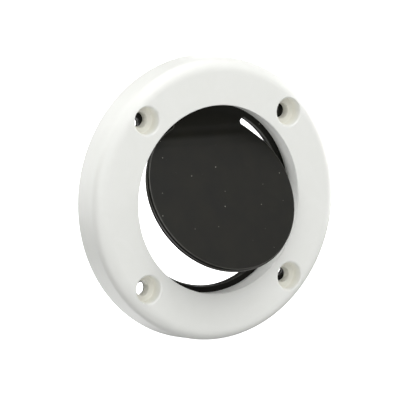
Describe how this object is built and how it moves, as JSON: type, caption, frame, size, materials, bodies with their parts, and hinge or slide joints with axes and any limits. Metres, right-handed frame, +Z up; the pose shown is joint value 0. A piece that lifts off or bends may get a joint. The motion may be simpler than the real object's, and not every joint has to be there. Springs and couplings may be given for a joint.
{
  "type": "flap outlet",
  "caption": "Round white flanged outlet for a boat hull or deck, with counterbored screw holes and a black rubber gasket whose round flap hangs from a living hinge and swings outward.",
  "frame": {"origin": "on the flange's axis, in the plane of its rear rim", "axes": "+Y along the flange's axis into the hull, so the front faces -Y; +Z up, towards the flap's hinge; +X to the right as seen from the front"},
  "size_m": [0.1, 0.0274, 0.1],
  "materials": {
    "white_plastic": "moulded ABS with a satin gloss",
    "black_rubber": "moulded rubber, matte to satin"
  },
  "bodies": {
    "mounted_ring": {"flange": "white_plastic", "gasket": "black_rubber", "hinge_web": "black_rubber"},
    "flap": {"flap": "black_rubber"}
  },
  "joints": [
    {"name": "flap_hinge", "type": "hinge", "parent": "mounted_ring", "child": "flap", "pos_m": [0, -0.00325, 0.02149], "axis": [-1, 0, 0], "range_deg": [-27, 45], "stiffness_Nm_per_rad": 0.03, "springref_deg": 1.72, "deforming": ["hinge_web"]}
  ]
}
